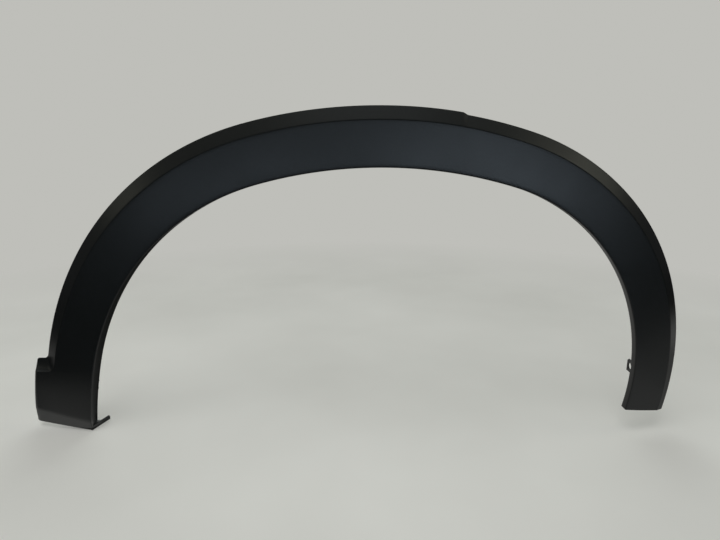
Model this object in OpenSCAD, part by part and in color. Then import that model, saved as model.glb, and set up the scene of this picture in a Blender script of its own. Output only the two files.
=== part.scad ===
// Wheel arch trim: one moulded band that follows a wheel opening from a wide foot, over the crown, to a narrow tail.
// +X runs along the vehicle, +Z is up and +Y points at the bodywork that the trim is clipped to.

/* [Arch line] */
// Heading of the inner edge where it leaves the foot, in degrees from level
foot_heading = 85; // [80:0.5:92]
// Radius of the inner edge along the foot leg
foot_leg_r = 715; // [600:5:1200]
// Turn of the inner edge along the foot leg, in degrees
foot_leg_turn = 8.5; // [4:0.5:10]
// Radius of the lower haunch on the foot side
haunch_a_r = 390; // [340:5:440]
// Turn of the lower haunch on the foot side, in degrees
haunch_a_turn = 21.5; // [16:0.5:26]
// Radius of the upper haunch on the foot side
haunch_b_r = 350; // [300:5:420]
// Turn of the upper haunch on the foot side, in degrees
haunch_b_turn = 39.5; // [34:0.5:46]
// Radius of the flat crown
crown_r = 625; // [500:5:800]
// Turn of the crown, in degrees
crown_turn = 32.5; // [26:0.5:38]
// Radius of the haunch on the tail side
haunch_c_r = 270; // [230:5:340]
// Turn of the haunch on the tail side, in degrees
haunch_c_turn = 53.5; // [46:0.5:58]
// Radius of the inner edge along the tail leg
tail_leg_r = 300; // [240:5:400]
// Turn of the inner edge along the tail leg, in degrees
tail_leg_turn = 31.5; // [24:0.5:36]

/* [Band] */
// Thickness of the moulded wall
wall = 2.6; // [2:0.1:4]
// Width of the front face at the foot
face_foot = 59; // [45:0.5:70]
// Width of the front face at the haunch on the foot side
face_haunch = 63; // [50:0.5:75]
// Width of the front face at the crown
face_crown = 62; // [50:0.5:75]
// Width of the front face at the haunch on the tail side
face_shoulder = 57.5; // [45:0.5:70]
// Width of the front face at the tail
face_tail = 52; // [35:0.5:60]
// How far the face falls back from its inner edge to the crease
face_fall = 4; // [1:0.5:8]
// Width of the outer bevel at the foot
bevel_foot = 20.5; // [12:0.5:26]
// Width of the outer bevel at the haunch on the foot side
bevel_haunch = 20; // [12:0.5:26]
// Width of the outer bevel at the crown
bevel_crown = 18.5; // [12:0.5:26]
// Width of the outer bevel at the haunch on the tail side
bevel_shoulder = 18.5; // [12:0.5:26]
// Width of the outer bevel at the tail
bevel_tail = 19; // [12:0.5:26]
// Depth of the outer bevel
bevel_depth = 18; // [10:0.5:24]
// Flat of the crease between face and bevel
crease_flat = 2; // [1:0.5:4]
// Width of the outer edge where it meets the bodywork
edge_flat = 1.5; // [1:0.1:3]
// Radius where the face turns into the inner flange
lip_r = 3; // [2:0.5:4.5]
// Depth of the inner flange at the foot
flange_foot = 24; // [16:0.5:34]
// Depth of the inner flange along the foot leg
flange_leg = 26; // [16:0.5:34]
// Depth of the inner flange at the haunch on the foot side
flange_haunch = 22.5; // [16:0.5:34]
// Depth of the inner flange at the tail
flange_tail = 13; // [12:0.5:30]
// Drop in the outer edge past the crown
edge_step = 2.5; // [0:0.5:4]
// Place of that drop along the band, as a share of its length
edge_step_at = 0.6; // [0.5:0.01:0.7]
// How far the ends of the band bend back from the crown
bow = 12; // [0:1:30]

/* [Foot] */
// Height of the foot along the inner edge
foot_h = 100; // [90:1:112]
// Width of the foot's front face
foot_w = 89; // [84:0.5:96]
// Flare of the foot's outer wall over its depth
foot_flare = 7; // [0:0.5:10]
// Rounding of the foot's outer edge
foot_round = 5; // [2:0.5:7]
// How far the foot's outer side tapers in at its lower edge
foot_taper = 1.5; // [0:0.5:6]
// Height over which it tapers
foot_taper_h = 36; // [20:2:60]
// How far the foot's face leans back to its lower edge
foot_lean = 3; // [0:0.5:6]
// Rise of the scoop between the foot's front face and the rear edge
scoop_h = 12; // [8:0.5:18]
// Slope of the foot's lower edge, in degrees
foot_slope = 7; // [4:0.5:18]
// Height of the chamfer along the foot's lower edge
chin_h = 16; // [8:0.5:24]
// Slope of the chamfer's upper line, in degrees
chin_slope = 12; // [8:0.5:18]
// Depth of that chamfer
chin_d = 5; // [3:0.5:8]
// Height of the tongue at the foot's lower inner corner
tongue_h = 7; // [5:0.5:12]
// Length of the tongue
tongue_l = 34; // [28:1:42]
// Lean of the tongue towards the wheel, in degrees
tongue_lean = 24; // [10:1:30]
// Rise of the tongue to its tip
tongue_rise = 3.5; // [0:0.5:6]
// Thickness of the tongue
tongue_t = 2; // [1.6:0.2:3]

/* [Tail] */
// Slope of the tail's cut, in degrees, lower at its outer side
tail_slope = 5; // [0:0.5:12]
// How much further the outer corner of the tail reaches down at its rear
tail_drop = 5; // [0:0.5:8]

/* [Clip seats] */
// Number of clip seats along the band
seat_count = 8; // [4:2:8]
// Half the spacing of neighbouring seats, along the inner edge
seat_half = 78; // [60:2:80]
// Distance of the seats from the inner edge
seat_off = 31; // [28:1:36]
// Height of the foot's own seat above its lower edge
foot_seat_s = 46; // [40:1:60]
// Distance of the foot's own seat from the inner edge
foot_seat_off = 58; // [50:1:62]
// Length of a seat along the band
seat_w = 26; // [22:1:32]
// Width of a seat across the band
seat_h = 20; // [18:1:24]
// Depth of a seat's outer face behind the front of the band
seat_depth = 17; // [13:0.5:19]
// Wall of a seat
seat_wall = 2; // [1.5:0.1:3]
// Bore of the keyhole in a seat
seat_bore = 9; // [8:0.5:11]
// Width of the keyhole's neck
seat_neck = 6; // [3:0.5:6]

/* [Screw tabs] */
// Distance of the tail's tab from the end of the band
tail_tab = 64; // [40:1:90]
// Depth that a tab adds to the inner flange
tab_d = 11; // [9:0.5:16]
// Length of a tab along the inner edge
tab_l = 19; // [16:0.5:28]
// Cut of a tab's lower corner
tab_corner = 3; // [1:0.5:5]
// Screw hole in a tab
tab_bore = 10; // [5:0.5:11]
// Distance of the screw hole behind the flange's edge
tab_hole = 3; // [0:0.5:4]

/* [Stiffening] */
// Height of the ribs behind the face
rib_h = 6; // [3:0.5:8]
// Thickness of the ribs
rib_t = 1.6; // [1.2:0.1:2.4]
// Height of the locating nibs on the flange of the foot leg
nib_h = 1.2; // [0.8:0.1:2]
// Length of a nib
nib_l = 4; // [2:0.5:6]
// Spacing of the two nibs
nib_gap = 12; // [8:1:20]
// Height of the nibs above the foot's lower edge
nib_s = 69; // [60:1:90]

/* [Hidden] */
plastic = "#26282b";

// Spacing of the cross-sections along the band, and their number over the scoop's fillet
step_band = 16;
scoop_n = 8;
// Length over which the slope of an end fades into the band
end_fade = 60;
// Length over which the drop of the tail's outer corner fades
drop_fade = 30;
// Length of the ramp in the drop of the outer edge
step_run = 8;
// Radius between the top of the foot and the band: along the crease, at the bevel's front and at its rear
scoop_crease_r = 1;
scoop_front_r = 7;
scoop_rear_r = 10;
// Overlap that fuses one feature into another
bite = 0.4;
// How much thinner the inner flange is than the wall
flange_draft = 0.6;
// Radius inside the lip
lip_in = 1;
// Offsets of the inner skin in walls, at the face, its outer end, the crease and the bevel
face_in = [0, 1, 0];
face_end_in = [-0.3, 1, 0];
crease_in = [-0.6, 0.8, 0];
bevel_in = [-1, 0.4, 0];
// Samples of the inner edge that find its middle
edge_n = 60;
// Gap between an end wall and the rear edges of the band
wall_gap = 1;
// Facets of a bore
bore_fn = 48;

arcs = [
    [foot_leg_r, foot_leg_turn],
    [haunch_a_r, haunch_a_turn],
    [haunch_b_r, haunch_b_turn],
    [crown_r, crown_turn],
    [haunch_c_r, haunch_c_turn],
    [tail_leg_r, tail_leg_turn],
];

function arc_length(a) = a[0] * a[1] * PI / 180;
function right_of(h) = [sin(h), -cos(h)];

// Length, heading and corner at the start of arc n
function start_s(n) = n == 0 ? 0 : start_s(n - 1) + arc_length(arcs[n - 1]);
function start_h(n) = n == 0 ? foot_heading : start_h(n - 1) - arcs[n - 1][1];
function start_p(n) =
    n == 0 ? [0, 0] : start_p(n - 1) + arcs[n - 1][0] * (right_of(start_h(n - 1)) - right_of(start_h(n)));

starts = [for (n = [0:len(arcs)]) start_s(n)];
heads = [for (n = [0:len(arcs)]) start_h(n)];
corners = [for (n = [0:len(arcs)]) start_p(n)];
total = starts[len(arcs)];

function arc_at(s, n = 0) = n == len(arcs) - 1 || s < starts[n + 1] ? n : arc_at(s, n + 1);
function head(s) = let(n = arc_at(s)) heads[n] - (s - starts[n]) / arcs[n][0] * 180 / PI;
function edge(s) = let(n = arc_at(s)) corners[n] + arcs[n][0] * (right_of(heads[n]) - right_of(head(s)));

// Middle and half width of the inner edge, for the bow
edge_x = [for (k = [0:edge_n]) edge(total * k / edge_n)[0]];
mid_x = (max(edge_x) + min(edge_x)) / 2;
half_x = (max(edge_x) - min(edge_x)) / 2;

// Point at length s along the inner edge, u outward from it and y behind the front
function at(s, u, y) =
    let(p = edge(s) - u * right_of(head(s)))
    [p[0], y + bow * pow((p[0] - mid_x) / half_x, 2), p[1]];

// Cosine blend from a to b while t runs from 0 to 1
function blend(a, b, t) = a + (b - a) * (1 - cos(180 * max(0, min(1, t)))) / 2;
function between(knots, values, t, n = 0) =
    n == len(knots) - 2 || t < knots[n + 1]
        ? blend(values[n], values[n + 1], (t - knots[n]) / (knots[n + 1] - knots[n]))
        : between(knots, values, t, n + 1);

face_knots = [0, 0.3, 0.55, 0.78, 1];
face_values = [face_foot, face_haunch, face_crown, face_shoulder, face_tail];
function face_w(s) = between(face_knots, face_values, s / total);

flange_knots = [0, 0.12, 0.35, 1];
flange_values = [flange_foot, flange_leg, flange_haunch, flange_tail];
function flange_d(s) = between(flange_knots, flange_values, s / total);

// The bevel narrows to the crown, and past it the outer edge steps down
bevel_values = [bevel_foot, bevel_haunch, bevel_crown, bevel_shoulder + edge_step, bevel_tail + edge_step];
function bevel_w(s) =
    between(face_knots, bevel_values, s / total) - blend(0, edge_step, (s - edge_step_at * total) / step_run);

// Outer line at depth share q: the foot's up to foot_h, then a fillet into the band's
function outward(s, q, band_u, foot_u) =
    let(
        above = s - foot_h,
        r = q == 0 ? scoop_crease_r : blend(scoop_front_r, scoop_rear_r, q),
        t = 1 - min(1, above / r)
    )
    above <= 0 ? foot_u : min(foot_u, band_u + r * (1 - sqrt(1 - t * t)));
function rounding(d, r) = r * (1 - sqrt(1 - pow(max(0, 1 - d / r), 2)));
function foot_edge(s, q) =
    foot_w + foot_flare * q
    - rounding(bevel_depth * q, foot_round)
    - foot_taper * pow(max(0, 1 - s / foot_taper_h), 2);

// Shift along the band at depth share q: the foot's top scoops upward to the rear, the tail's corner drops
scoop_end = foot_h + scoop_rear_r;
function scoop_share(s) =
    s < foot_h
        ? blend(0, 1, (s - chin_h) / (foot_h - wall - chin_h))
        : blend(1, 0, (s - scoop_end) / end_fade);
function lift(s, q) =
    scoop_h * q * q * scoop_share(s) + tail_drop * q * blend(0, 1, 1 - (total - s) / drop_fade);

// Setback of the front: the foot leans back to its lower edge, which is chamfered
function setback(s) = foot_lean * max(0, 1 - s / foot_h) + chin_d * max(0, 1 - s / chin_h);

// Fall of the face at u, the same on both sides of the foot's top
function fall(s, u) =
    let(reach = s < foot_h ? foot_w : blend(foot_w, face_w(s), (s - foot_h) / end_fade))
    face_fall * pow((u - lip_r) / (reach - lip_r), 2);

// Middle of the wall behind the face at u, from the front at v
function mid_wall(s, u, v) = wall / 2 + setback(s) + fall(s, u) + at(s, u, 0)[1] - at(s, v, 0)[1];

// Outer skin of the section at s as [u, y, lift]: flange, lip, face, crease, bevel
lip_angles = [0, 30, 60, 90];
face_parts = 4;
bevel_shares = [0.06, 0.2, 0.4, 0.7, 1];
function skin(s, ahead = 0) =
    let(
        band = face_w(s) + crease_flat / 2,
        bev = bevel_w(s) - crease_flat / 2,
        w = outward(s + ahead, 0, band - crease_flat, foot_edge(s, 0)),
        c = setback(s),
        start = fall(s, outward(s, 0, band, foot_edge(s, 0)))
    )
    concat(
        [[0, flange_d(s), 0]],
        [for (a = lip_angles) [lip_r * (1 - cos(a)), c + lip_r * (1 - sin(a)), 0]],
        [for (k = [1:face_parts]) let(u = lip_r + (w - lip_r) * k / face_parts) [u, c + fall(s, u), 0]],
        [
            for (q = bevel_shares) [
                outward(s + ahead, q, band + bev * q, foot_edge(s, q)),
                (c + start) * (1 - q) + (face_fall + bevel_depth) * q,
                lift(s, q)
            ]
        ]
    );

// Inner skin, one wall behind each point of the outer skin and one wall below the foot's top
function inside(s) =
    let(o = skin(s, wall), n = len(o), f = n - len(bevel_shares), c = setback(s) + wall, r = lip_in)
    concat(
        [[wall - flange_draft, flange_d(s), 0]],
        [for (a = lip_angles) [wall + r * (1 - cos(a)), c + r * (1 - sin(a)), 0]],
        [for (k = [len(lip_angles) + 1:f - 2]) o[k] + wall * face_in],
        [o[f - 1] + wall * face_end_in, o[f] + wall * crease_in],
        [for (k = [f + 1:n - 2]) o[k] + wall * bevel_in],
        [o[n - 1] - [edge_flat, 0, 0]]
    );

// A section lies square to the inner edge, except that it tilts to the foot's sloping lower edge,
// to its level top, and to the cut of the tail
function rise(s) = 90 - head(s);
function foot_tilt(s) =
    s < chin_h ? foot_slope + (chin_slope - foot_slope) * s / chin_h - rise(s)
    : s < foot_h ? blend(chin_slope, 0, (s - chin_h) / (foot_h - chin_h)) - rise(s)
    : blend(-rise(foot_h), 0, (s - scoop_end) / end_fade);
function tail_tilt(s) = blend(0, head(total) + 90 + tail_slope, 1 - (total - s) / end_fade);
function slide(s, u) = s + u * tan(s < total / 2 ? foot_tilt(s) : tail_tilt(s));
function ring(s, points) = [for (p = points) at(slide(s, p[0]) + p[2], p[0], p[1])];

// Closed solid along a run of sections, each a row of outer points with a row of inner points behind it
module loft(outer, inner) {
    m = len(outer[0]);
    last = len(outer) - 1;
    row = 2 * m;
    points = [for (i = [0:last]) each concat(outer[i], [for (j = [m - 1:-1:0]) inner[i][j]])];
    sides = [
        for (i = [0:last - 1], j = [0:row - 1])
            let(a = i * row + j, b = i * row + (j + 1) % row)
            each [[a, b, a + row], [b, b + row, a + row]]
    ];
    ends = [
        for (j = [0:m - 2])
            let(k = row - 1 - j, t = last * row)
            each [[j, k, j + 1], [j + 1, k, k - 1], [t + j, t + j + 1, t + k], [t + j + 1, t + k - 1, t + k]]
    ];
    polyhedron(points, concat(sides, ends), convexity = 12);
}

// Sections lie close together over the chamfer, the foot's top and the step in the outer edge
step_s = edge_step_at * total;
band_n = ceil((total - scoop_end) / step_band);
stations = concat(
    [0, chin_h / 2, chin_h, (chin_h + foot_h) / 2, foot_h - 2 * wall, foot_h - wall, foot_h - wall / 2],
    [for (k = [0:scoop_n]) foot_h + scoop_rear_r * pow(k / scoop_n, 2)],
    [
        for (k = [1:band_n])
            let(s = scoop_end + (total - scoop_end) * k / band_n)
            if (k == band_n || abs(s - step_s - step_run / 2) > step_run) s
            else each [step_s, step_s + step_run / 2, step_s + step_run]
    ]
);

// Lengths along the inner edge of the seats, the ribs and the screw tabs; the crown's top is where it runs level
crown_top = starts[3] + arc_length([crown_r, heads[3]]);
seats = [for (k = [1:2:seat_count - 1]) each [crown_top - k * seat_half, crown_top + k * seat_half]];
ribs = concat([crown_top], [for (k = [2:2:seat_count - 2]) each [crown_top - k * seat_half, crown_top + k * seat_half]]);
tabs = [crown_top - 2 * seat_half, crown_top + 2 * seat_half, total - tail_tab];

// The origin is the middle of the part's box, at its lowest point
rim = [for (s = stations) each ring(s, skin(s))];
rim_x = [for (p = rim) p[0]];
rim_y = [for (p = rim) p[1]];
rim_z = [for (p = rim) p[2]];
tongue_s = setback(0) + lip_r - wall;
tip_y = tongue_s + tongue_l * cos(tongue_lean) + tongue_t / 2 * sin(tongue_lean);
rear_y = max(max(rim_y), at(0, wall / 2, tip_y)[1]);
origin = [(min(rim_x) + max(rim_x)) / 2, (min(rim_y) + rear_y) / 2, min(rim_z)];

// Local frame at length s: +X outward across the band, +Y to the rear, -Z on along the band
module place(s, u, y) {
    translate(at(s, u, y)) rotate([0, -90 - head(s), 0]) children();
}

// Plate of the flange's thickness whose outline runs in depth and along the band
module flange_plate(outline) {
    rotate([90, 0, 90]) linear_extrude(wall - flange_draft) polygon(outline);
}

module band() {
    loft([for (s = stations) ring(s, skin(s))], [for (s = stations) ring(s, inside(s))]);
}

// Wall that closes an end of the band, from mid-wall of the skin to just under the rear edges
module end_wall(s) {
    o = skin(s);
    i = inside(s);
    last = len(o) - 1;
    mid = [for (k = [1:last - 1]) (o[k] + i[k]) / 2];
    function rear_line(u) = o[0][1] + (o[last][1] - o[0][1]) * u / o[last][0] - wall_gap;
    back = [for (p = mid) [p[0], max(p[1] + wall_gap, rear_line(p[0])), p[2]]];
    ends = s < total / 2 ? [s + bite, s + bite + wall] : [s - bite - wall, s - bite];
    loft([for (e = ends) ring(e, mid)], [for (e = ends) ring(e, back)]);
}

// Clip seat: a bridge behind the face with a keyhole, open at the lower end for a push-in clip
module clip_seat(s, u) {
    half = seat_h / 2;
    outline = [
        [-half, mid_wall(s, u - half, u)], [half, mid_wall(s, u + half, u)],
        [half, seat_depth], [-half, seat_depth]
    ];
    place(s, u, 0)
        difference() {
            translate([0, 0, -seat_w / 2]) linear_extrude(seat_w) polygon(outline);
            translate([-seat_h / 2 + seat_wall, 0, -seat_w / 2 + seat_wall])
                cube([seat_h - 2 * seat_wall, seat_depth - seat_wall, seat_w]);
            rotate([-90, 0, 0]) cylinder(d = seat_bore, h = 2 * seat_depth, $fn = bore_fn);
            translate([-seat_neck / 2, 0, 0]) cube([seat_neck, 2 * seat_depth, seat_w]);
        }
}

// Rib across the back of the face, from the flange to reach
module rib(s, reach) {
    base = [for (k = [0:face_parts]) let(u = wall - bite + (reach - wall) * k / face_parts) [u, mid_wall(s, u, 0)]];
    rear = [for (k = [face_parts:-1:0]) base[k] + [0, wall / 2 + rib_h]];
    place(s, 0, 0) translate([0, 0, -rib_t / 2]) linear_extrude(rib_t) polygon(concat(base, rear));
}

// Screw tab: the flange stands deeper here
module screw_tab(s) {
    half = tab_l / 2;
    place(s, bite, flange_d(s))
        flange_plate([
            [-bite, -half], [tab_d, -half], [tab_d, half - tab_corner],
            [tab_d - tab_corner, half], [-bite, half]
        ]);
}

module screw_hole(s) {
    place(s, 0, flange_d(s) + tab_hole)
        translate([-wall, 0, 0]) rotate([0, 90, 0]) cylinder(d = tab_bore, h = 3 * wall, $fn = bore_fn);
}

// Tongue that runs back and inward from the foot's lower inner corner, with a web to the flange
module tongue() {
    reach = flange_foot - tongue_s;
    place(0, wall / 2, tongue_s) {
        rotate([0, 0, tongue_lean])
            translate([-tongue_t / 2, 0, 0])
                rotate([90, 0, 90])
                    linear_extrude(tongue_t)
                        polygon([
                            [0, 0], [tongue_l, -tongue_rise], [tongue_l, tongue_t - tongue_rise - tongue_h],
                            [tongue_l - tongue_t, -tongue_rise - tongue_h], [0, -tongue_h]
                        ]);
        translate([0, 0, -tongue_h - tongue_rise / 2])
            linear_extrude(tongue_t)
                polygon([[0, 0], [-reach * tan(tongue_lean), reach], [0, reach]]);
    }
}

// Locating nib on the rear edge of the flange
module nib(s) {
    place(s, bite, flange_d(s))
        flange_plate([[-bite, -nib_l / 2], [nib_h, -nib_l / 4], [nib_h, nib_l / 4], [-bite, nib_l / 2]]);
}

module arch_trim() {
    color(plastic)
        translate(-origin)
            difference() {
                union() {
                    band();
                    end_wall(0);
                    end_wall(total);
                    for (s = seats) clip_seat(s, seat_off);
                    clip_seat(foot_seat_s, foot_seat_off);
                    for (s = ribs) rib(s, face_w(s));
                    for (s = tabs) screw_tab(s);
                    tongue();
                    for (k = [-1, 1]) nib(nib_s + k * nib_gap / 2);
                }
                for (s = tabs) screw_hole(s);
            }
}

arch_trim();
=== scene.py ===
"""Wheel arch trim: one black moulding, built as a fine mesh in place of the CAD solid, in soft light."""
import math
import bmesh
import bpy
import numpy as np
from mathutils import Matrix, Vector


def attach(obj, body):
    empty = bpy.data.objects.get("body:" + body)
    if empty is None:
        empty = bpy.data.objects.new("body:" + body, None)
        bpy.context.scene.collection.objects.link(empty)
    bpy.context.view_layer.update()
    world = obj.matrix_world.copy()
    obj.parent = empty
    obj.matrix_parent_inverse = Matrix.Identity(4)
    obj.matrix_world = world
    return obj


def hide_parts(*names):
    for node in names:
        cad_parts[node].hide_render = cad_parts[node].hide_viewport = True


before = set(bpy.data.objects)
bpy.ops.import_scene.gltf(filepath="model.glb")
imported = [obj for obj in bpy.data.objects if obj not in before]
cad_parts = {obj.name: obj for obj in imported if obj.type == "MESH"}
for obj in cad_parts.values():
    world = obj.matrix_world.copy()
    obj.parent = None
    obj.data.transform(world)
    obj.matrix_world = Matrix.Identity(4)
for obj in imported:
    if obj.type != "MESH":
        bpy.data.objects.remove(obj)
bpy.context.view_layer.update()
scene = bpy.context.scene
MM = 0.001

# Camera: place in metres, pitch in degrees from straight down, lens and sensor in mm
CAMERA_AT = (0.0134, -0.7634, 0.4413)
CAMERA_PITCH = 76
LENS = 27.5
SENSOR_W = 36

cam = bpy.data.objects.new("camera", bpy.data.cameras.new("camera"))
scene.collection.objects.link(cam)
cam.location = CAMERA_AT
cam.rotation_euler = (math.radians(CAMERA_PITCH), 0, 0)
cam.data.sensor_width = SENSOR_W
cam.data.lens = LENS
scene.camera = cam

# Sizes of the trim in mm and degrees, the same as in the part's source where no note says otherwise.
# Inner edge: radius and turn of each arc, from the foot over the crown to the tail
ARCS = [(715, 8.5), (390, 21.5), (350, 39.5), (625, 32.5), (270, 53.5), (300, 31.5)]
FOOT_HEADING = 85  # heading of the inner edge where it leaves the foot
# The part's origin from the foot's inner corner: along the arch, behind the crown's front, and up
ORIGIN = np.array([395.15, 25.972, 0.0])

# Band; the lists run along it, at places from 0 at the foot to 1 at the tail
WALL = 2.6
FACE_AT = (0, 0.3, 0.55, 0.78, 1)
FACE_W = (59, 63, 62, 57.5, 52)
FACE_FALL = 4  # from the lip to the crease
EDGE_STEP = 2.5  # drop in the outer edge past the crown
EDGE_STEP_AT = 0.6
STEP_RUN = 8
BEVEL_W = (20.5, 20, 18.5, 18.5 + EDGE_STEP, 19 + EDGE_STEP)
BEVEL_DEPTH = 18
EDGE_FLAT = 1.5  # width of the rear edge that meets the bodywork
FLANGE_AT = (0, 0.12, 0.35, 1)
FLANGE_D = (24, 26, 22.5, 13)
FLANGE_DRAFT = 0.6  # how much thinner the flange is than the wall
LIP_IN = 1  # radius inside the lip
BOW = 12  # how far the ends bend back from the crown
END_FADE = 60  # length over which an end's slope fades into the band

# Foot and tail
FOOT_H = 100
FOOT_W = 89
FOOT_FLARE = 7  # of the outer wall over its depth
FOOT_ROUND = 5  # rounding of the outer edge
FOOT_TAPER = 1.5  # how far the outer side tapers in at the lower edge
FOOT_TAPER_H = 36
FOOT_LEAN = 3  # how far the face leans back to the lower edge
FOOT_SLOPE = 7  # of the lower edge
CHIN_H = 16  # chamfer along the lower edge
CHIN_SLOPE = 12
CHIN_D = 5
SCOOP_CREASE_R = 1  # radius between the foot's top and the band, along the crease
SCOOP_FRONT_R = 7  # and at the bevel's front
DROP_FADE = 30  # length over which the drop of the tail's outer corner fades

# Set a little closer to the photograph than in the source, whose value ends each note
SCOOP_REAR_R = 5  # radius between the foot's top and the band at the bevel's rear; 10
SCOOP_H = 13.5  # rise of the foot's top to the rear; 12
TOP_ROUND = 2.5  # rounding of the foot's top corner; none
LIP_R = 1.8  # radius where the face turns into the flange; 3
FALL_POWER = 1.35  # of the face's fall; 2
TAIL_SLOPE = 6  # of the tail's cut; 5
TAIL_DROP = 5.5  # of the tail's outer corner to the rear; 5

# Behind the face
SEAT_HALF = 78  # half the spacing of the clip seats
SEAT_OFF = 31  # distance of the seats from the inner edge
FOOT_SEAT_S = 46  # height and distance of the foot's own seat
FOOT_SEAT_OFF = 58
SEAT_W = 26
SEAT_H = 20
SEAT_DEPTH = 17
SEAT_WALL = 2
SEAT_BORE = 9
SEAT_NECK = 6
RIB_H = 6
RIB_T = 1.6
WALL_GAP = 1  # between an end wall and the rear edges
BITE = 0.4  # overlap that fuses one feature into another

# On the inner flange
TAIL_TAB = 64  # distance of the tail's tab from the end
TAB_D = 11
TAB_L = 19
TAB_CORNER = 3
TAB_BORE = 10
TAB_HOLE = 3  # distance of the hole behind the flange's edge
NIB_H = 1.2
NIB_L = 4
NIB_GAP = 12
NIB_S = 69  # height of the nibs above the foot's lower edge
TONGUE_H = 7
TONGUE_L = 34
TONGUE_LEAN = 24
TONGUE_RISE = 3.5
TONGUE_T = 2

# Fine roundings in mm, where the source has sharp edges or a flat
CREASE_R = 1.3
REAR_R = 0.45
SEAT_SOFT = 0.35
PLATE_SOFT = 0.3
NIB_SOFT = 0.2
# How far the middle of a rounded rear edge lies in from its sharp corner, across and in depth
FLANGE_CORNER = (0.12, 0.15)
BEVEL_CORNER = (0.12, 0.08)


# Arch line and sections


def right_of(h):
    """Unit vector to the right of heading h."""
    return np.array([math.sin(math.radians(h)), -math.cos(math.radians(h))])


# Length, heading and corner at the start of each arc of the inner edge
starts = [0.0]
heads = [float(FOOT_HEADING)]
corners = [np.zeros(2)]
for radius, turn in ARCS:
    starts.append(starts[-1] + radius * math.radians(turn))
    corners.append(corners[-1] + radius * (right_of(heads[-1]) - right_of(heads[-1] - turn)))
    heads.append(heads[-1] - turn)
TOTAL = starts[-1]
CROWN_TOP = starts[3] + ARCS[3][0] * math.radians(heads[3])


def arc_of(s):
    """Number of the arc on which length s lies."""
    n = 0
    while n < len(ARCS) - 1 and s >= starts[n + 1]:
        n += 1
    return n


def head(s):
    """Heading of the inner edge, in degrees from level."""
    n = arc_of(s)
    return heads[n] - math.degrees((s - starts[n]) / ARCS[n][0])


def edge(s):
    """Point of the inner edge, along the arch and up."""
    n = arc_of(s)
    return corners[n] + ARCS[n][0] * (right_of(heads[n]) - right_of(head(s)))


# Middle and half width of the inner edge, for the bow
EDGE_N = 60  # stretches in which it is sampled
edge_x = [edge(TOTAL * k / EDGE_N)[0] for k in range(EDGE_N + 1)]
MID_X = (max(edge_x) + min(edge_x)) / 2
HALF_X = (max(edge_x) - min(edge_x)) / 2


def at(s, u, y):
    """Point at length s along the inner edge, u outward from it and y behind the front."""
    p = edge(s) - u * right_of(head(s))
    return np.array([p[0], y + BOW * ((p[0] - MID_X) / HALF_X) ** 2, p[1]])


def ease(a, b, t):
    """From a to b along half a cosine wave while t runs from 0 to 1."""
    return a + (b - a) * (1 - math.cos(math.pi * min(1, max(0, t)))) / 2


def between(knots, values, t):
    """Value at t, eased from one knot's value to the next one's."""
    n = 0
    while n < len(knots) - 2 and t >= knots[n + 1]:
        n += 1
    return ease(values[n], values[n + 1], (t - knots[n]) / (knots[n + 1] - knots[n]))


def spread(a, b, n):
    """n evenly spaced values after a, the last of which is b."""
    return np.linspace(a, b, n + 1)[1:]


def face_w(s):
    """Width of the front face."""
    return between(FACE_AT, FACE_W, s / TOTAL)


def flange_d(s):
    """Depth of the inner flange."""
    return between(FLANGE_AT, FLANGE_D, s / TOTAL)


def bevel_w(s):
    """Width of the outer bevel, with the drop of the outer edge past the crown."""
    dropped = ease(0, EDGE_STEP, (s - EDGE_STEP_AT * TOTAL) / STEP_RUN)
    return between(FACE_AT, BEVEL_W, s / TOTAL) - dropped


def setback(s):
    """Depth of the face's inner edge: the foot's lean and the chamfer along its lower edge."""
    return FOOT_LEAN * max(0, 1 - s / FOOT_H) + CHIN_D * max(0, 1 - s / CHIN_H)


def fall(s, u):
    """How far the face has fallen back at u."""
    reach = FOOT_W if s < FOOT_H else ease(FOOT_W, face_w(s), (s - FOOT_H) / END_FADE)
    return FACE_FALL * max(0, (u - LIP_R) / (reach - LIP_R)) ** FALL_POWER


def fillet(above, r, band_u, foot_u):
    """From the foot's outer line into the band's over the fillet at the top of the foot."""
    if above <= 0:
        return foot_u
    t = 1 - min(1, above / r)
    return min(foot_u, band_u + r * (1 - math.sqrt(max(0, 1 - t * t))))


def outer_u(s, q, ahead=0.0):
    """Outer line at depth share q of the bevel, with the foot's top lowered by the length ahead."""
    foot_u = FOOT_W + FOOT_FLARE * q - FOOT_TAPER * max(0, 1 - s / FOOT_TAPER_H) ** 2
    near_top = min(1, max(0, 1 + (s - FOOT_H) / TOP_ROUND))
    foot_u -= TOP_ROUND * q * (1 - math.sqrt(1 - near_top ** 2))
    r = ease(SCOOP_FRONT_R, SCOOP_REAR_R, q) if q > 0 else SCOOP_CREASE_R
    return fillet(s + ahead - FOOT_H, r, face_w(s) + bevel_w(s) * q, foot_u)


def bevel_y(s, q, start):
    """Depth of the bevel at share q, which starts at the face's own fall."""
    return (setback(s) + start) * (1 - q) + (FACE_FALL + BEVEL_DEPTH) * q


# Length at which the fillets above the foot have run out
FILLET_END = FOOT_H + max(SCOOP_FRONT_R, SCOOP_REAR_R)


def lift(s, q):
    """Shift along the band: the foot's top scoops upward to the rear, the tail's corner drops."""
    if s < FOOT_H:
        share = ease(0, 1, (s - CHIN_H) / (FOOT_H - WALL - CHIN_H))
    else:
        share = ease(1, 0, (s - FILLET_END) / END_FADE)
    return SCOOP_H * q * q * share + TAIL_DROP * q * ease(0, 1, 1 - (TOTAL - s) / DROP_FADE)


def rise(s):
    """Angle of a section from level, in degrees."""
    return 90 - head(s)


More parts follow.
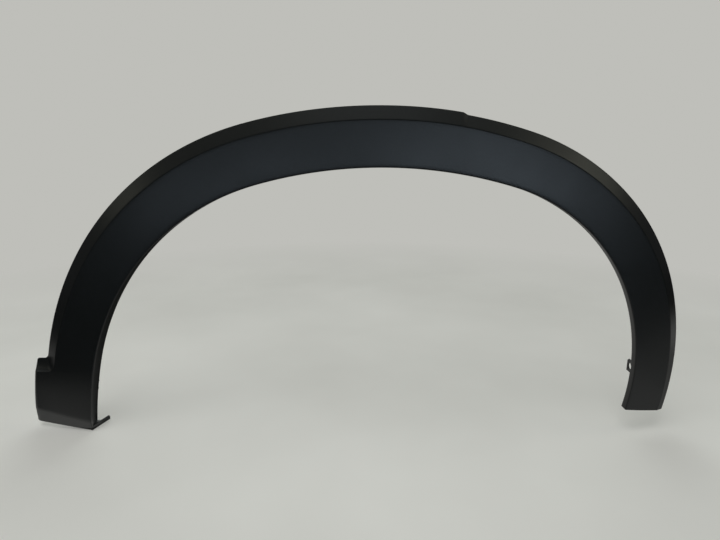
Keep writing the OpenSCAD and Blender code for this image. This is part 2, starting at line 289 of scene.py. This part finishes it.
def tilt(s):
    """Tilt of a section to the foot's sloping lower edge, to its level top and to the tail's cut."""
    if s > TOTAL / 2:
        return ease(0, head(TOTAL) + 90 + TAIL_SLOPE, 1 - (TOTAL - s) / END_FADE)
    if s < CHIN_H:
        return FOOT_SLOPE + (CHIN_SLOPE - FOOT_SLOPE) * s / CHIN_H - rise(s)
    if s < FOOT_H:
        return ease(CHIN_SLOPE, 0, (s - CHIN_H) / (FOOT_H - CHIN_H)) - rise(s)
    return ease(-rise(FOOT_H), 0, (s - FILLET_END) / END_FADE)


def spot(s, p):
    """Place in the part's frame of the section point p = (u, y, shift along the band)."""
    return at(s + p[0] * math.tan(math.radians(tilt(s))) + p[2], p[0], p[1]) - ORIGIN


def bezier(a, k, b, n):
    """Points of a quadratic curve from a to b with corner k, without its ends."""
    a, k, b = np.array(a), np.array(k), np.array(b)
    return [a * (1 - t) ** 2 + 2 * k * t * (1 - t) + b * t * t for t in np.linspace(0, 1, n + 2)[1:-1]]


def lip_points(u, y, r, angles):
    """Round from the flange, whose side is at u, into the face, which is at y, at angles in degrees."""
    return [(u + r * (1 - math.cos(a)), y + r * (1 - math.sin(a)), 0) for a in np.radians(angles)]


# Number of points over the face, the crease's rounding and the bevel
FACE_N, CREASE_N, BEVEL_N = 14, 5, 9
# Shares of the flange's depth that have a point
FLANGE_SHARES = (0.33, 0.67)
# Rough length of the band's bevel from the crease to its rear edge, in mm
BEVEL_SLANT = 26


def outer_skin(s):
    """Outer side of the section: flange, lip, face, rounded crease and bevel, up to the rear edge."""
    rear = flange_d(s)
    front = setback(s)
    corner = outer_u(s, 0)
    start = fall(s, corner)
    points = [(REAR_R, rear, 0), (FLANGE_CORNER[0], rear - FLANGE_CORNER[1], 0), (0, rear - REAR_R, 0)]
    points += [(0, rear + (front + LIP_R - rear) * t, 0) for t in FLANGE_SHARES]
    points += lip_points(0, front, LIP_R, range(0, 91, 15))
    tangent = FOOT_ROUND if s <= FOOT_H else CREASE_R
    points += [(u, front + fall(s, u), 0) for u in spread(LIP_R, corner - tangent, FACE_N)]
    q0 = tangent / (BEVEL_DEPTH if s <= FOOT_H else BEVEL_SLANT)
    first = (outer_u(s, q0), bevel_y(s, q0, start), lift(s, q0))
    points += bezier(points[-1], (corner, front + start, 0), first, CREASE_N)
    for q in np.linspace(q0, 1 - REAR_R / BEVEL_DEPTH, BEVEL_N):
        points.append((outer_u(s, q), bevel_y(s, q, start), lift(s, q)))
    u1, y1, l1 = outer_u(s, 1), bevel_y(s, 1, start), lift(s, 1)
    points += [(u1 - BEVEL_CORNER[0], y1 - BEVEL_CORNER[1], l1), (u1 - REAR_R, y1, l1)]
    return [np.array(p, float) for p in points]


# Number of points over the inner side of the face and of the bevel
FACE_INNER_N, BEVEL_INNER_N = 6, 6
# Inner side of the bevel: shares of the depth between which it runs, and its offset in walls
INNER_SPAN = (0.06, 0.94)
INNER_BACK = 0.4


def inner_skin(s):
    """Inner side of the section, a wall behind the outer one, from the flange to the rear edge."""
    rear = flange_d(s)
    front = setback(s) + WALL
    corner = outer_u(s, 0, WALL)
    start = fall(s, corner)
    thick = WALL - FLANGE_DRAFT
    points = [(thick - REAR_R, rear, 0), (thick, rear - REAR_R, 0)]
    points.append(((thick + WALL) / 2, (rear + front + LIP_IN) / 2, 0))
    points += lip_points(WALL, front, LIP_IN, range(0, 91, 30))
    points += [(u, front + fall(s, u), 0) for u in spread(WALL + LIP_IN, corner - WALL / 2, FACE_INNER_N)]
    for q in np.linspace(*INNER_SPAN, BEVEL_INNER_N):
        points.append((outer_u(s, q, WALL) - WALL, bevel_y(s, q, start) + INNER_BACK * WALL, lift(s, q)))
    points.append((outer_u(s, 1, WALL) - EDGE_FLAT, bevel_y(s, 1, start), lift(s, 1)))
    return [np.array(p, float) for p in points]


# Number of sections over the chamfer, the foot, its top and the fillets
CHIN_N, FOOT_N, TOP_N, FILLET_N = 6, 21, 8, 14
# Number of sections over the band, the step in its edge and the rest
BAND_N, STEP_N, REST_N = 159, 9, 123
# How far before the foot's top, and before and after the step, the dense sections lie, in mm
TOP_EARLY = 6
STEP_EARLY = 2


def station_list():
    """Lengths of the sections, dense at the chamfer, at the foot's top and at the step in the edge."""
    top = FOOT_H - TOP_EARLY
    step0 = EDGE_STEP_AT * TOTAL - STEP_EARLY
    step1 = EDGE_STEP_AT * TOTAL + STEP_RUN + STEP_EARLY
    foot = [0.0, *spread(0, CHIN_H, CHIN_N), *spread(CHIN_H, top, FOOT_N), *spread(top, FOOT_H, TOP_N)]
    fillets = [FOOT_H + (FILLET_END - FOOT_H) * (k / FILLET_N) ** 2 for k in range(1, FILLET_N + 1)]
    band = spread(FILLET_END, step0, BAND_N)
    step = spread(step0, step1, STEP_N)
    return [*foot, *fillets, *band, *step, *spread(step1, TOTAL, REST_N)]


# Making of meshes


def added(name, mesh):
    """Object of the mesh, in the scene."""
    obj = bpy.data.objects.new(name, mesh)
    scene.collection.objects.link(obj)
    return obj


def loft(name, rings):
    """Closed solid along rings of equal point counts."""
    n = len(rings[0])
    verts = [tuple(p * MM) for ring in rings for p in ring]
    faces = []
    for i in range(len(rings) - 1):
        for j in range(n):
            a, b = i * n + j, i * n + (j + 1) % n
            faces.append((a, b, b + n, a + n))
    faces.append(tuple(range(n)))
    faces.append(tuple((len(rings) - 1) * n + j for j in range(n)))
    mesh = bpy.data.meshes.new(name)
    mesh.from_pydata(verts, [], faces)
    bm = bmesh.new()
    bm.from_mesh(mesh)
    bmesh.ops.recalc_face_normals(bm, faces=bm.faces)
    bm.to_mesh(mesh)
    bm.free()
    return added(name, mesh)


def placed(s, u, y):
    """Local frame at length s: +X outward across the band, +Y to the rear, -Z on along the band."""
    p = at(s, u, y) - ORIGIN
    return Matrix.Translation(Vector(p * MM)) @ Matrix.Rotation(math.radians(-90 - head(s)), 4, "Y")


# Which of an outline's first and second coordinate and its run become X, Y and Z, for a run along each axis
AXIS_ORDER = {"x": (2, 0, 1), "y": (0, 2, 1), "z": (0, 1, 2)}


def prism(outline, low, high, axis="y"):
    """Corners and faces of an outline that is run along one axis from low to high."""
    n = len(outline)
    verts = []
    for c in (low, high):
        for a, b in outline:
            verts.append(tuple((a, b, c)[k] for k in AXIS_ORDER[axis]))
    faces = [tuple(range(n)), tuple(range(n, 2 * n))]
    faces += [(k, (k + 1) % n, n + (k + 1) % n, n + k) for k in range(n)]
    return verts, faces


def arc_points(x, y, r, a0, a1, n):
    """Points of an arc from angle a0 to a1, in degrees."""
    return [(x + r * math.cos(a), y + r * math.sin(a)) for a in np.radians(np.linspace(a0, a1, n + 1))]


# Turn of an edge in degrees above which it is rounded, and above which it is shaded as sharp
ROUNDED_TURN = 40
SHARP_TURN = 32


def solid(name, parts, matrix, soft):
    """One object from prisms, with its edges rounded, placed by the matrix."""
    bm = bmesh.new()
    for verts, faces in parts:
        vs = [bm.verts.new([c * MM for c in v]) for v in verts]
        for f in faces:
            bm.faces.new([vs[k] for k in f])
    bmesh.ops.recalc_face_normals(bm, faces=bm.faces)
    if soft:
        turn = math.radians(ROUNDED_TURN)
        sharp = [e for e in bm.edges if len(e.link_faces) == 2 and e.calc_face_angle(0) > turn]
        bmesh.ops.bevel(bm, geom=sharp, offset=soft * MM, segments=2, affect="EDGES", clamp_overlap=True)
    bm.transform(matrix)
    mesh = bpy.data.meshes.new(name)
    bm.to_mesh(mesh)
    bm.free()
    return added(name, mesh)


def joined(name, objects):
    """One object from several."""
    bm = bmesh.new()
    for o in objects:
        bm.from_mesh(o.data)
    mesh = bpy.data.meshes.new(name)
    bm.to_mesh(mesh)
    bm.free()
    for o in objects:
        bpy.data.objects.remove(o)
    return added(name, mesh)


def combine(obj, tool, operation):
    """Add the tool's solid to the object's, or cut it out."""
    mod = obj.modifiers.new("combine", "BOOLEAN")
    mod.operation = operation
    mod.object = tool
    mod.solver = "EXACT"
    with bpy.context.temp_override(object=obj):
        bpy.ops.object.modifier_apply(modifier=mod.name)
    bpy.data.objects.remove(tool)


def shade(obj):
    """Smooth faces, sharp along edges that turn by more than a set angle."""
    bm = bmesh.new()
    bm.from_mesh(obj.data)
    for f in bm.faces:
        f.smooth = True
    for e in bm.edges:
        e.smooth = len(e.link_faces) == 2 and e.calc_face_angle(0) < math.radians(SHARP_TURN)
    bm.to_mesh(obj.data)
    bm.free()


# Pieces of the trim


def flange_plate(name, outline, s, y, low, soft=PLATE_SOFT):
    """Plate in the flange's plane; the outline runs in depth and along the band."""
    return solid(name, [prism(outline, low, low + WALL - FLANGE_DRAFT, "x")], placed(s, 0, y), soft)


# Tab: how far it reaches into the flange, how far in from the flange's side it stands, and the drill's run
TAB_ROOT = 6
TAB_IN = 0.05
DRILL_RUN = (-6, 8)
# Number of stretches round a tab's bore and round a keyhole
BORE_N, KEYHOLE_N = 40, 28


def screw_tab(s):
    """Tab behind the flange's edge, with its lower corner cut."""
    half = TAB_L / 2
    outline = [
        (-TAB_ROOT, -half),
        (TAB_D, -half),
        (TAB_D, half - TAB_CORNER),
        (TAB_D - TAB_CORNER, half),
        (-TAB_ROOT, half),
    ]
    return flange_plate("tab", outline, s, flange_d(s), TAB_IN)


def screw_hole(s):
    """Tool that drills a tab."""
    ring = arc_points(0, 0, TAB_BORE / 2, 0, 360, BORE_N)[:-1]
    return solid("hole", [prism(ring, *DRILL_RUN, "x")], placed(s, 0, flange_d(s) + TAB_HOLE), 0)


def trim_shell():
    """The band with its three screw tabs and their holes."""
    rings = []
    for s in station_list():
        section = outer_skin(s) + inner_skin(s)[::-1]
        rings.append([spot(s, p) for p in section])
    shell = loft("trim_shell", rings)
    tabs = [CROWN_TOP - 2 * SEAT_HALF, CROWN_TOP + 2 * SEAT_HALF, TOTAL - TAIL_TAB]
    for s in tabs:
        combine(shell, screw_tab(s), "UNION")
    for s in tabs:
        combine(shell, screw_hole(s), "DIFFERENCE")
    return shell


# End wall: its least distance from the flange's side and from the bevel's rear edge, and its shift outward
RIM_FROM_SIDE = 1.2
RIM_FROM_EDGE = 1.5
RIM_SHIFT = 0.1


def end_wall(name, s0, s1):
    """Wall that closes an end of the band, from mid-wall to just under the line between its rear edges."""
    rings = []
    for s in (s0, s1):
        skin = outer_skin(s)
        first_y, last_y, last_u = skin[0][1], skin[-1][1], skin[-1][0]
        front = []
        back = []
        # From a third of the flange's depth, over the face, to about seven eighths of the bevel's
        for p in skin[4:-3]:
            u = min(max(p[0] + RIM_SHIFT, RIM_FROM_SIDE), last_u - RIM_FROM_EDGE)
            y = p[1] + WALL / 2
            line = first_y + (last_y - first_y) * u / last_u - WALL_GAP
            front.append(np.array((u, y, p[2])))
            back.append(np.array((u, max(y + WALL_GAP, line), p[2])))
        rings.append([spot(s, p) for p in front + back[::-1]])
    return loft(name, rings)


def end_walls():
    """The walls at the foot and at the tail."""
    foot = end_wall("foot_wall", BITE, BITE + WALL)
    tail = end_wall("tail_wall", TOTAL - BITE - WALL, TOTAL - BITE)
    return joined("end_walls", [foot, tail])


def mid_wall(s, u, v):
    """Middle of the wall behind the face at u, from the front at v."""
    return WALL / 2 + setback(s) + fall(s, u) + at(s, u, 0)[1] - at(s, v, 0)[1]


def seated(s, u, x0, x1, rear):
    """Outline across the band from the middle of the face's wall to a depth."""
    return [(x0, mid_wall(s, u + x0, u)), (x1, mid_wall(s, u + x1, u)), (x1, rear), (x0, rear)]


def clip_seat(s, u):
    """Bridge behind the face with a keyhole that is open at its lower end."""
    h, w, r = SEAT_H / 2, SEAT_W / 2, SEAT_BORE / 2
    neck = math.degrees(math.asin(SEAT_NECK / 2 / r))
    plate = [(-SEAT_NECK / 2, w), (-h, w), (-h, -w), (h, -w), (h, w), (SEAT_NECK / 2, w)]
    plate += arc_points(0, 0, r, 90 - neck, -270 + neck, KEYHOLE_N)
    top = prism(plate, SEAT_DEPTH - SEAT_WALL, SEAT_DEPTH)
    rear = SEAT_DEPTH - SEAT_WALL / 2
    sides = [prism(seated(s, u, a, a + SEAT_WALL, rear), -w, w, "z") for a in (-h, h - SEAT_WALL)]
    closed = prism(seated(s, u, -h, h, rear), -w, -w + SEAT_WALL, "z")
    return solid("seat", [top] + sides + [closed], placed(s, u, 0), SEAT_SOFT)


def clip_seats():
    """Eight seats in pairs about the crown's top, and the foot's own seat."""
    seats = [clip_seat(CROWN_TOP + k * SEAT_HALF, SEAT_OFF) for k in range(-7, 8, 2)]
    seats.append(clip_seat(FOOT_SEAT_S, FOOT_SEAT_OFF))
    return joined("clip_seats", seats)


# Number of points of a rib along the face
RIB_N = 6


def rib(s):
    """Rib across the band behind the face, whose fall it follows."""
    base = [(u, mid_wall(s, u, 0)) for u in np.linspace(WALL - BITE, face_w(s) - WALL, RIB_N)]
    outline = base + [(u, y + WALL / 2 + RIB_H) for u, y in base[::-1]]
    return solid("rib", [prism(outline, -RIB_T / 2, RIB_T / 2, "z")], placed(s, 0, 0), PLATE_SOFT)


def ribs():
    """Seven ribs, between the seats."""
    return joined("ribs", [rib(CROWN_TOP + k * SEAT_HALF) for k in range(-6, 7, 2)])


def tongue():
    """Blade that leans inward from the foot's lower inner corner, with a web to the flange's rear edge."""
    front = setback(0) + LIP_R - WALL
    reach = FLANGE_D[0] - front
    lean = math.radians(TONGUE_LEAN)
    outline = [
        (0, 0),
        (TONGUE_L, -TONGUE_RISE),
        (TONGUE_L, TONGUE_T - TONGUE_RISE - TONGUE_H),
        (TONGUE_L - TONGUE_T, -TONGUE_RISE - TONGUE_H),
        (0, -TONGUE_H),
    ]
    upright, faces = prism(outline, -TONGUE_T / 2, TONGUE_T / 2, "x")
    blade = []
    for x, y, z in upright:
        blade.append((x * math.cos(lean) - y * math.sin(lean), x * math.sin(lean) + y * math.cos(lean), z))
    low = -TONGUE_H - TONGUE_RISE / 2
    web = prism([(0, 0), (-reach * math.tan(lean), reach), (0, reach)], low, low + TONGUE_T, "z")
    return solid("tongue", [(blade, faces), web], placed(0, WALL / 2, front), PLATE_SOFT)


# Nib: how far it reaches into the flange, and how far in from the flange's side it stands
NIB_ROOT = 3
NIB_IN = 0.1


def nib(s):
    """Small locating nib on the flange's edge, narrower at its tip."""
    half = NIB_L / 2
    tip = NIB_L / 4
    outline = [(-NIB_ROOT, -half), (0, -half), (NIB_H, -tip), (NIB_H, tip), (0, half), (-NIB_ROOT, half)]
    return flange_plate("nib", outline, s, flange_d(s), NIB_IN, NIB_SOFT)


def nibs():
    """The two nibs on the foot leg."""
    return joined("nibs", [nib(NIB_S + k * NIB_GAP / 2) for k in (-1, 1)])


# Materials


def new_material(name):
    """Material with its nodes, links and shader."""
    mat = bpy.data.materials.new(name)
    mat.use_nodes = True
    tree = mat.node_tree
    return mat, tree.nodes, tree.links, tree.nodes["Principled BSDF"]


def noise(nodes, links, coords, scale, detail, roughness):
    """Noise over the coordinates."""
    n = nodes.new("ShaderNodeTexNoise")
    n.inputs["Scale"].default_value = scale
    n.inputs["Detail"].default_value = detail
    n.inputs["Roughness"].default_value = roughness
    links.new(coords, n.inputs["Vector"])
    return n.outputs["Fac"]


def ramp(nodes, links, value, low, high, out_low, out_high):
    """A value between low and high, brought to between out_low and out_high."""
    n = nodes.new("ShaderNodeMapRange")
    for key, v in (("From Min", low), ("From Max", high), ("To Min", out_low), ("To Max", out_high)):
        n.inputs[key].default_value = v
    links.new(value, n.inputs["Value"])
    return n.outputs["Result"]


# Stretch of a noise's values that it is read over
NOISE_SPAN = (0.3, 0.7)


def tint(nodes, links, share, colours):
    """Mix of two colours by a noise."""
    n = nodes.new("ShaderNodeMix")
    n.data_type = "RGBA"
    n.inputs["A"].default_value = colours[0]
    n.inputs["B"].default_value = colours[1]
    links.new(ramp(nodes, links, share, *NOISE_SPAN, 0, 1), n.inputs["Factor"])
    return n.outputs["Result"]


# Plastic: its two tints, the range of its roughness, and the strength and depth in metres of its grain
BLACKS = ((0.0066, 0.0076, 0.0074, 1), (0.0088, 0.0100, 0.0098, 1))
SHEEN = (0.29, 0.35)
GRAIN_STRENGTH = 0.35
GRAIN_DEPTH = 0.00012
# Its noises for the grain, the tints and the roughness: scale per metre, detail and roughness
GRAIN = (1400, 3, 0.6)
FLECK = (420, 2, 0.5)
CLOUD = (9, 3, 0.5)


def plastic():
    """Black moulded plastic: a fine leathery grain, a little cloudiness in its sheen."""
    mat, nodes, links, bsdf = new_material("black_plastic")
    coords = nodes.new("ShaderNodeTexCoord").outputs["Object"]
    grain = noise(nodes, links, coords, *GRAIN)
    fleck = noise(nodes, links, coords, *FLECK)
    cloud = noise(nodes, links, coords, *CLOUD)
    links.new(tint(nodes, links, fleck, BLACKS), bsdf.inputs["Base Color"])
    links.new(ramp(nodes, links, cloud, *NOISE_SPAN, *SHEEN), bsdf.inputs["Roughness"])
    bump = nodes.new("ShaderNodeBump")
    bump.inputs["Strength"].default_value = GRAIN_STRENGTH
    bump.inputs["Distance"].default_value = GRAIN_DEPTH
    links.new(grain, bump.inputs["Height"])
    links.new(bump.outputs["Normal"], bsdf.inputs["Normal"])
    return mat


# Floor: its two tints, their noise, and the strength of the glow that only the camera sees
PALES = ((0.60, 0.60, 0.565, 1), (0.66, 0.66, 0.625, 1))
PATCHES = (2.5, 3, 0.5)
FLOOR_GLOW = 0.34
# Radii in metres between which it fades into the backdrop, and the backdrop's colour
FADE = (0.9, 1.5)
BACKDROP = (0.52, 0.52, 0.49, 1)


def pale_floor():
    """Off-white ground; what the light lacks to the backdrop's level is added for the camera alone."""
    mat, nodes, links, bsdf = new_material("pale_floor")
    coords = nodes.new("ShaderNodeTexCoord").outputs["Object"]
    colour = tint(nodes, links, noise(nodes, links, coords, *PATCHES), PALES)
    links.new(colour, bsdf.inputs["Base Color"])
    links.new(colour, bsdf.inputs["Emission Color"])
    camera_ray = nodes.new("ShaderNodeLightPath").outputs["Is Camera Ray"]
    links.new(ramp(nodes, links, camera_ray, 0, 1, 0, FLOOR_GLOW), bsdf.inputs["Emission Strength"])
    bsdf.inputs["Roughness"].default_value = 1
    bsdf.inputs["Specular IOR Level"].default_value = 0
    distance = nodes.new("ShaderNodeVectorMath")
    distance.operation = "LENGTH"
    links.new(coords, distance.inputs[0])
    far = nodes.new("ShaderNodeEmission")
    far.inputs["Color"].default_value = BACKDROP
    links.new(camera_ray, far.inputs["Strength"])
    fade = nodes.new("ShaderNodeMixShader")
    links.new(ramp(nodes, links, distance.outputs["Value"], *FADE, 0, 1), fade.inputs[0])
    links.new(bsdf.outputs[0], fade.inputs[1])
    links.new(far.outputs[0], fade.inputs[2])
    links.new(fade.outputs[0], nodes["Material Output"].inputs["Surface"])
    return mat


def glow(name, colour, strength):
    """Even glow with no surface colour of its own."""
    mat, _, _, bsdf = new_material(name)
    bsdf.inputs["Base Color"].default_value = (0, 0, 0, 1)
    bsdf.inputs["Specular IOR Level"].default_value = 0
    bsdf.inputs["Emission Color"].default_value = colour
    bsdf.inputs["Emission Strength"].default_value = strength
    return mat


def hide_from(obj, *rays):
    """Leave the object out for these kinds of ray."""
    for kind in rays:
        setattr(obj, "visible_" + kind, False)


# Stage, in metres
# Floor: radii of its rings, from the middle face to the rim, and its depth under the trim
FLOOR_RADII = (0.001, 0.5, 1, 1.6)
FLOOR_DROP = 0.0005
# Backdrop: the radius at which it curves up, that of the curve, and its height
CURVE_FROM = 2.6
CURVE_R = 0.9
BACKDROP_H = 4.5
# Number of sides of a turned surface
TURNED_N = 72


def turned(name, profile, material, filled):
    """Surface turned from radii and heights about the vertical axis, its first ring filled or open."""
    n = TURNED_N
    verts = []
    for r, z in profile:
        verts += [(r * math.cos(math.tau * k / n), r * math.sin(math.tau * k / n), z) for k in range(n)]
    faces = []
    for i in range(len(profile) - 1):
        a = i * n
        faces += [(a + k, a + n + k, a + n + (k + 1) % n, a + (k + 1) % n) for k in range(n)]
    if filled:
        faces.append(tuple(range(n)))
    mesh = bpy.data.meshes.new(name)
    mesh.from_pydata(verts, [], faces)
    mesh.materials.append(material)
    for p in mesh.polygons:
        p.use_smooth = True
    obj = added(name, mesh)
    obj.location.z = -FLOOR_DROP
    return obj


def stage():
    """Floor round the trim, and a backdrop beyond it that curves up and that only the camera sees."""
    turned("floor", [(r, 0) for r in FLOOR_RADII], pale_floor(), True)
    profile = [(FLOOR_RADII[-1], 0)]
    for a in np.radians(range(0, 91, 10)):
        profile.append((CURVE_FROM + CURVE_R * math.sin(a), CURVE_R - CURVE_R * math.cos(a)))
    profile.append((CURVE_FROM + CURVE_R, BACKDROP_H))
    backdrop = turned("backdrop", profile, glow("backdrop", BACKDROP, 1), False)
    hide_from(backdrop, "diffuse", "glossy", "transmission", "volume_scatter", "shadow")


# Painted reflections of the ground in the sheen: a dark glowing sheet with paler glowing patches over it:
# name, corners and height in metres, and strength
SHEETS = [
    ("painted_dark_reflection", [(-4, -4), (4, -4), (4, 4), (-4, 4)], 0.002, 0.012),
    ("painted_pale_reflection", [(-0.64, -0.1), (1.12, -0.4), (1.12, 0.9), (0.15, 0.9), (-0.385, 0.02)], 0.003, 0.3),
    ("painted_left_reflection", [(-1.02, -0.05), (-0.55, -0.05), (-0.55, 0.27), (-1.02, 0.27)], 0.003, 0.2),
    (
        "painted_rear_reflection",
        [(-1.2, 0.9), (-0.6, 0.9), (-0.2, 1.5), (1.6, 1.5), (1.6, 3.5), (-1.2, 3.5)],
        0.003,
        0.6,
    ),
    ("painted_right_reflection", [(0.5, -0.03), (0.95, -0.03), (0.95, 0.22), (0.5, 0.22)], 0.004, 0.13),
    ("painted_foot_reflection", [(-0.6, -0.03), (-0.3, -0.03), (-0.3, 0.01), (-0.6, 0.01)], 0.004, 0.55),
    ("painted_tail_reflection", [(0.2, -0.23), (0.58, -0.31), (0.58, -0.03), (0.2, -0.03)], 0.004, 0.44),
]
SHEET_COLOUR = (1, 1, 0.96, 1)


def painted_reflections():
    """Painted reflections: glowing sheets over the floor that only reflections see; a higher one covers
    those below it.
    """
    for name, sheet_corners, height, strength in SHEETS:
        mesh = bpy.data.meshes.new(name)
        mesh.from_pydata([(x, y, 0) for x, y in sheet_corners], [], [tuple(range(len(sheet_corners)))])
        mesh.materials.append(glow("sheet", SHEET_COLOUR, strength))
        obj = added(name, mesh)
        obj.location.z = height
        hide_from(obj, "camera", "diffuse", "transmission", "volume_scatter", "shadow")


# Light
# Soft zones of the world: azimuth from the front to the right and elevation in degrees,
# half angles to which a zone is full and at which it has faded out, strength and colour
COOL = (0.84, 1.0, 1.16)
WARM = (1.0, 1.0, 0.82)
NEUTRAL = (0.95, 1.0, 0.98)
ZONES = [
    (5, 1, 3, 10, 1.15, COOL),
    (17, 1, 3, 10, 1.55, COOL),
    (28, -1, 3, 11, 1.55, COOL),
    (18, 11, 3, 10, 0.9, COOL),
    (-2, 11, 3, 10, 0.4, COOL),
    (-14, 0, 3, 10, 1.25, COOL),
    (-26, -4, 3, 11, 1.2, COOL),
    (90, 45, 5, 16, 0.6, WARM),
    (95, 32, 4, 13, 0.8, WARM),
    (90, 62, 5, 18, 0.1, WARM),
    (-99, 26, 3, 10, 0.5, WARM),
    (-90, 48, 5, 18, 0.1, WARM),
    (-90, 70, 5, 16, 0.12, WARM),
    (0, 90, 6, 22, 0.3, NEUTRAL),
    (180, 25, 30, 70, 0.1, NEUTRAL),
    (180, 34, 12, 36, 1.3, NEUTRAL),
]
WORLD_BASE = 0.04


def studio_world():
    """Dim world with the soft zones; the camera sees floor and backdrop in front of it."""
    world = bpy.data.worlds.new("studio")
    world.use_nodes = True
    scene.world = world
    nodes, links = world.node_tree.nodes, world.node_tree.links
    direction = nodes.new("ShaderNodeTexCoord").outputs["Generated"]
    total = None
    for azimuth, elevation, full, fade, strength, colour in ZONES:
        az, el = math.radians(azimuth), math.radians(elevation)
        dot = nodes.new("ShaderNodeVectorMath")
        dot.operation = "DOT_PRODUCT"
        level = math.cos(el)
        dot.inputs[1].default_value = (math.sin(az) * level, -math.cos(az) * level, math.sin(el))
        links.new(direction, dot.inputs[0])
        low, high = math.cos(math.radians(fade)), math.cos(math.radians(full))
        share = ramp(nodes, links, dot.outputs["Value"], low, high, 0, strength)
        share.node.interpolation_type = "SMOOTHSTEP"
        summed = nodes.new("ShaderNodeVectorMath")
        summed.operation = "MULTIPLY_ADD"
        summed.inputs[0].default_value = colour
        links.new(share, summed.inputs[1])
        if total is None:
            summed.inputs[2].default_value = (WORLD_BASE,) * 3
        else:
            links.new(total, summed.inputs[2])
        total = summed.outputs["Vector"]
    links.new(total, nodes["Background"].inputs["Color"])
    nodes["Background"].inputs["Strength"].default_value = 1


# Lamp: place and target in metres, size in metres and power in watts
LAMP_AT = (-0.5, -0.9, 2.3)
LAMP_TARGET = (0, 0.1, 0)
LAMP_SIZE = (1.8, 1.4)
LAMP_POWER = 19


def overhead_lamp():
    """Broad lamp that lays the trim's shadow on the floor but leaves no reflection."""
    light = bpy.data.lights.new("overhead", "AREA")
    light.shape = "RECTANGLE"
    light.size, light.size_y = LAMP_SIZE
    light.energy = LAMP_POWER
    lamp = bpy.data.objects.new("overhead", light)
    scene.collection.objects.link(lamp)
    lamp.location = LAMP_AT
    lamp.rotation_euler = (Vector(LAMP_TARGET) - Vector(LAMP_AT)).to_track_quat("-Z", "Y").to_euler()
    lamp.visible_glossy = False


# The trim in its finish
trim = trim_shell()
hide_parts("arch_trim")
black = plastic()
for piece in (trim, end_walls(), clip_seats(), ribs(), tongue(), nibs()):
    shade(piece)
    piece.data.materials.clear()
    piece.data.materials.append(black)
    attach(piece, "root")

# Stage and light
stage()
# Painted reflections: glowing sheets that only the plastic's sheen sees
painted_reflections()
studio_world()
overhead_lamp()
scene.view_settings.view_transform = "Standard"
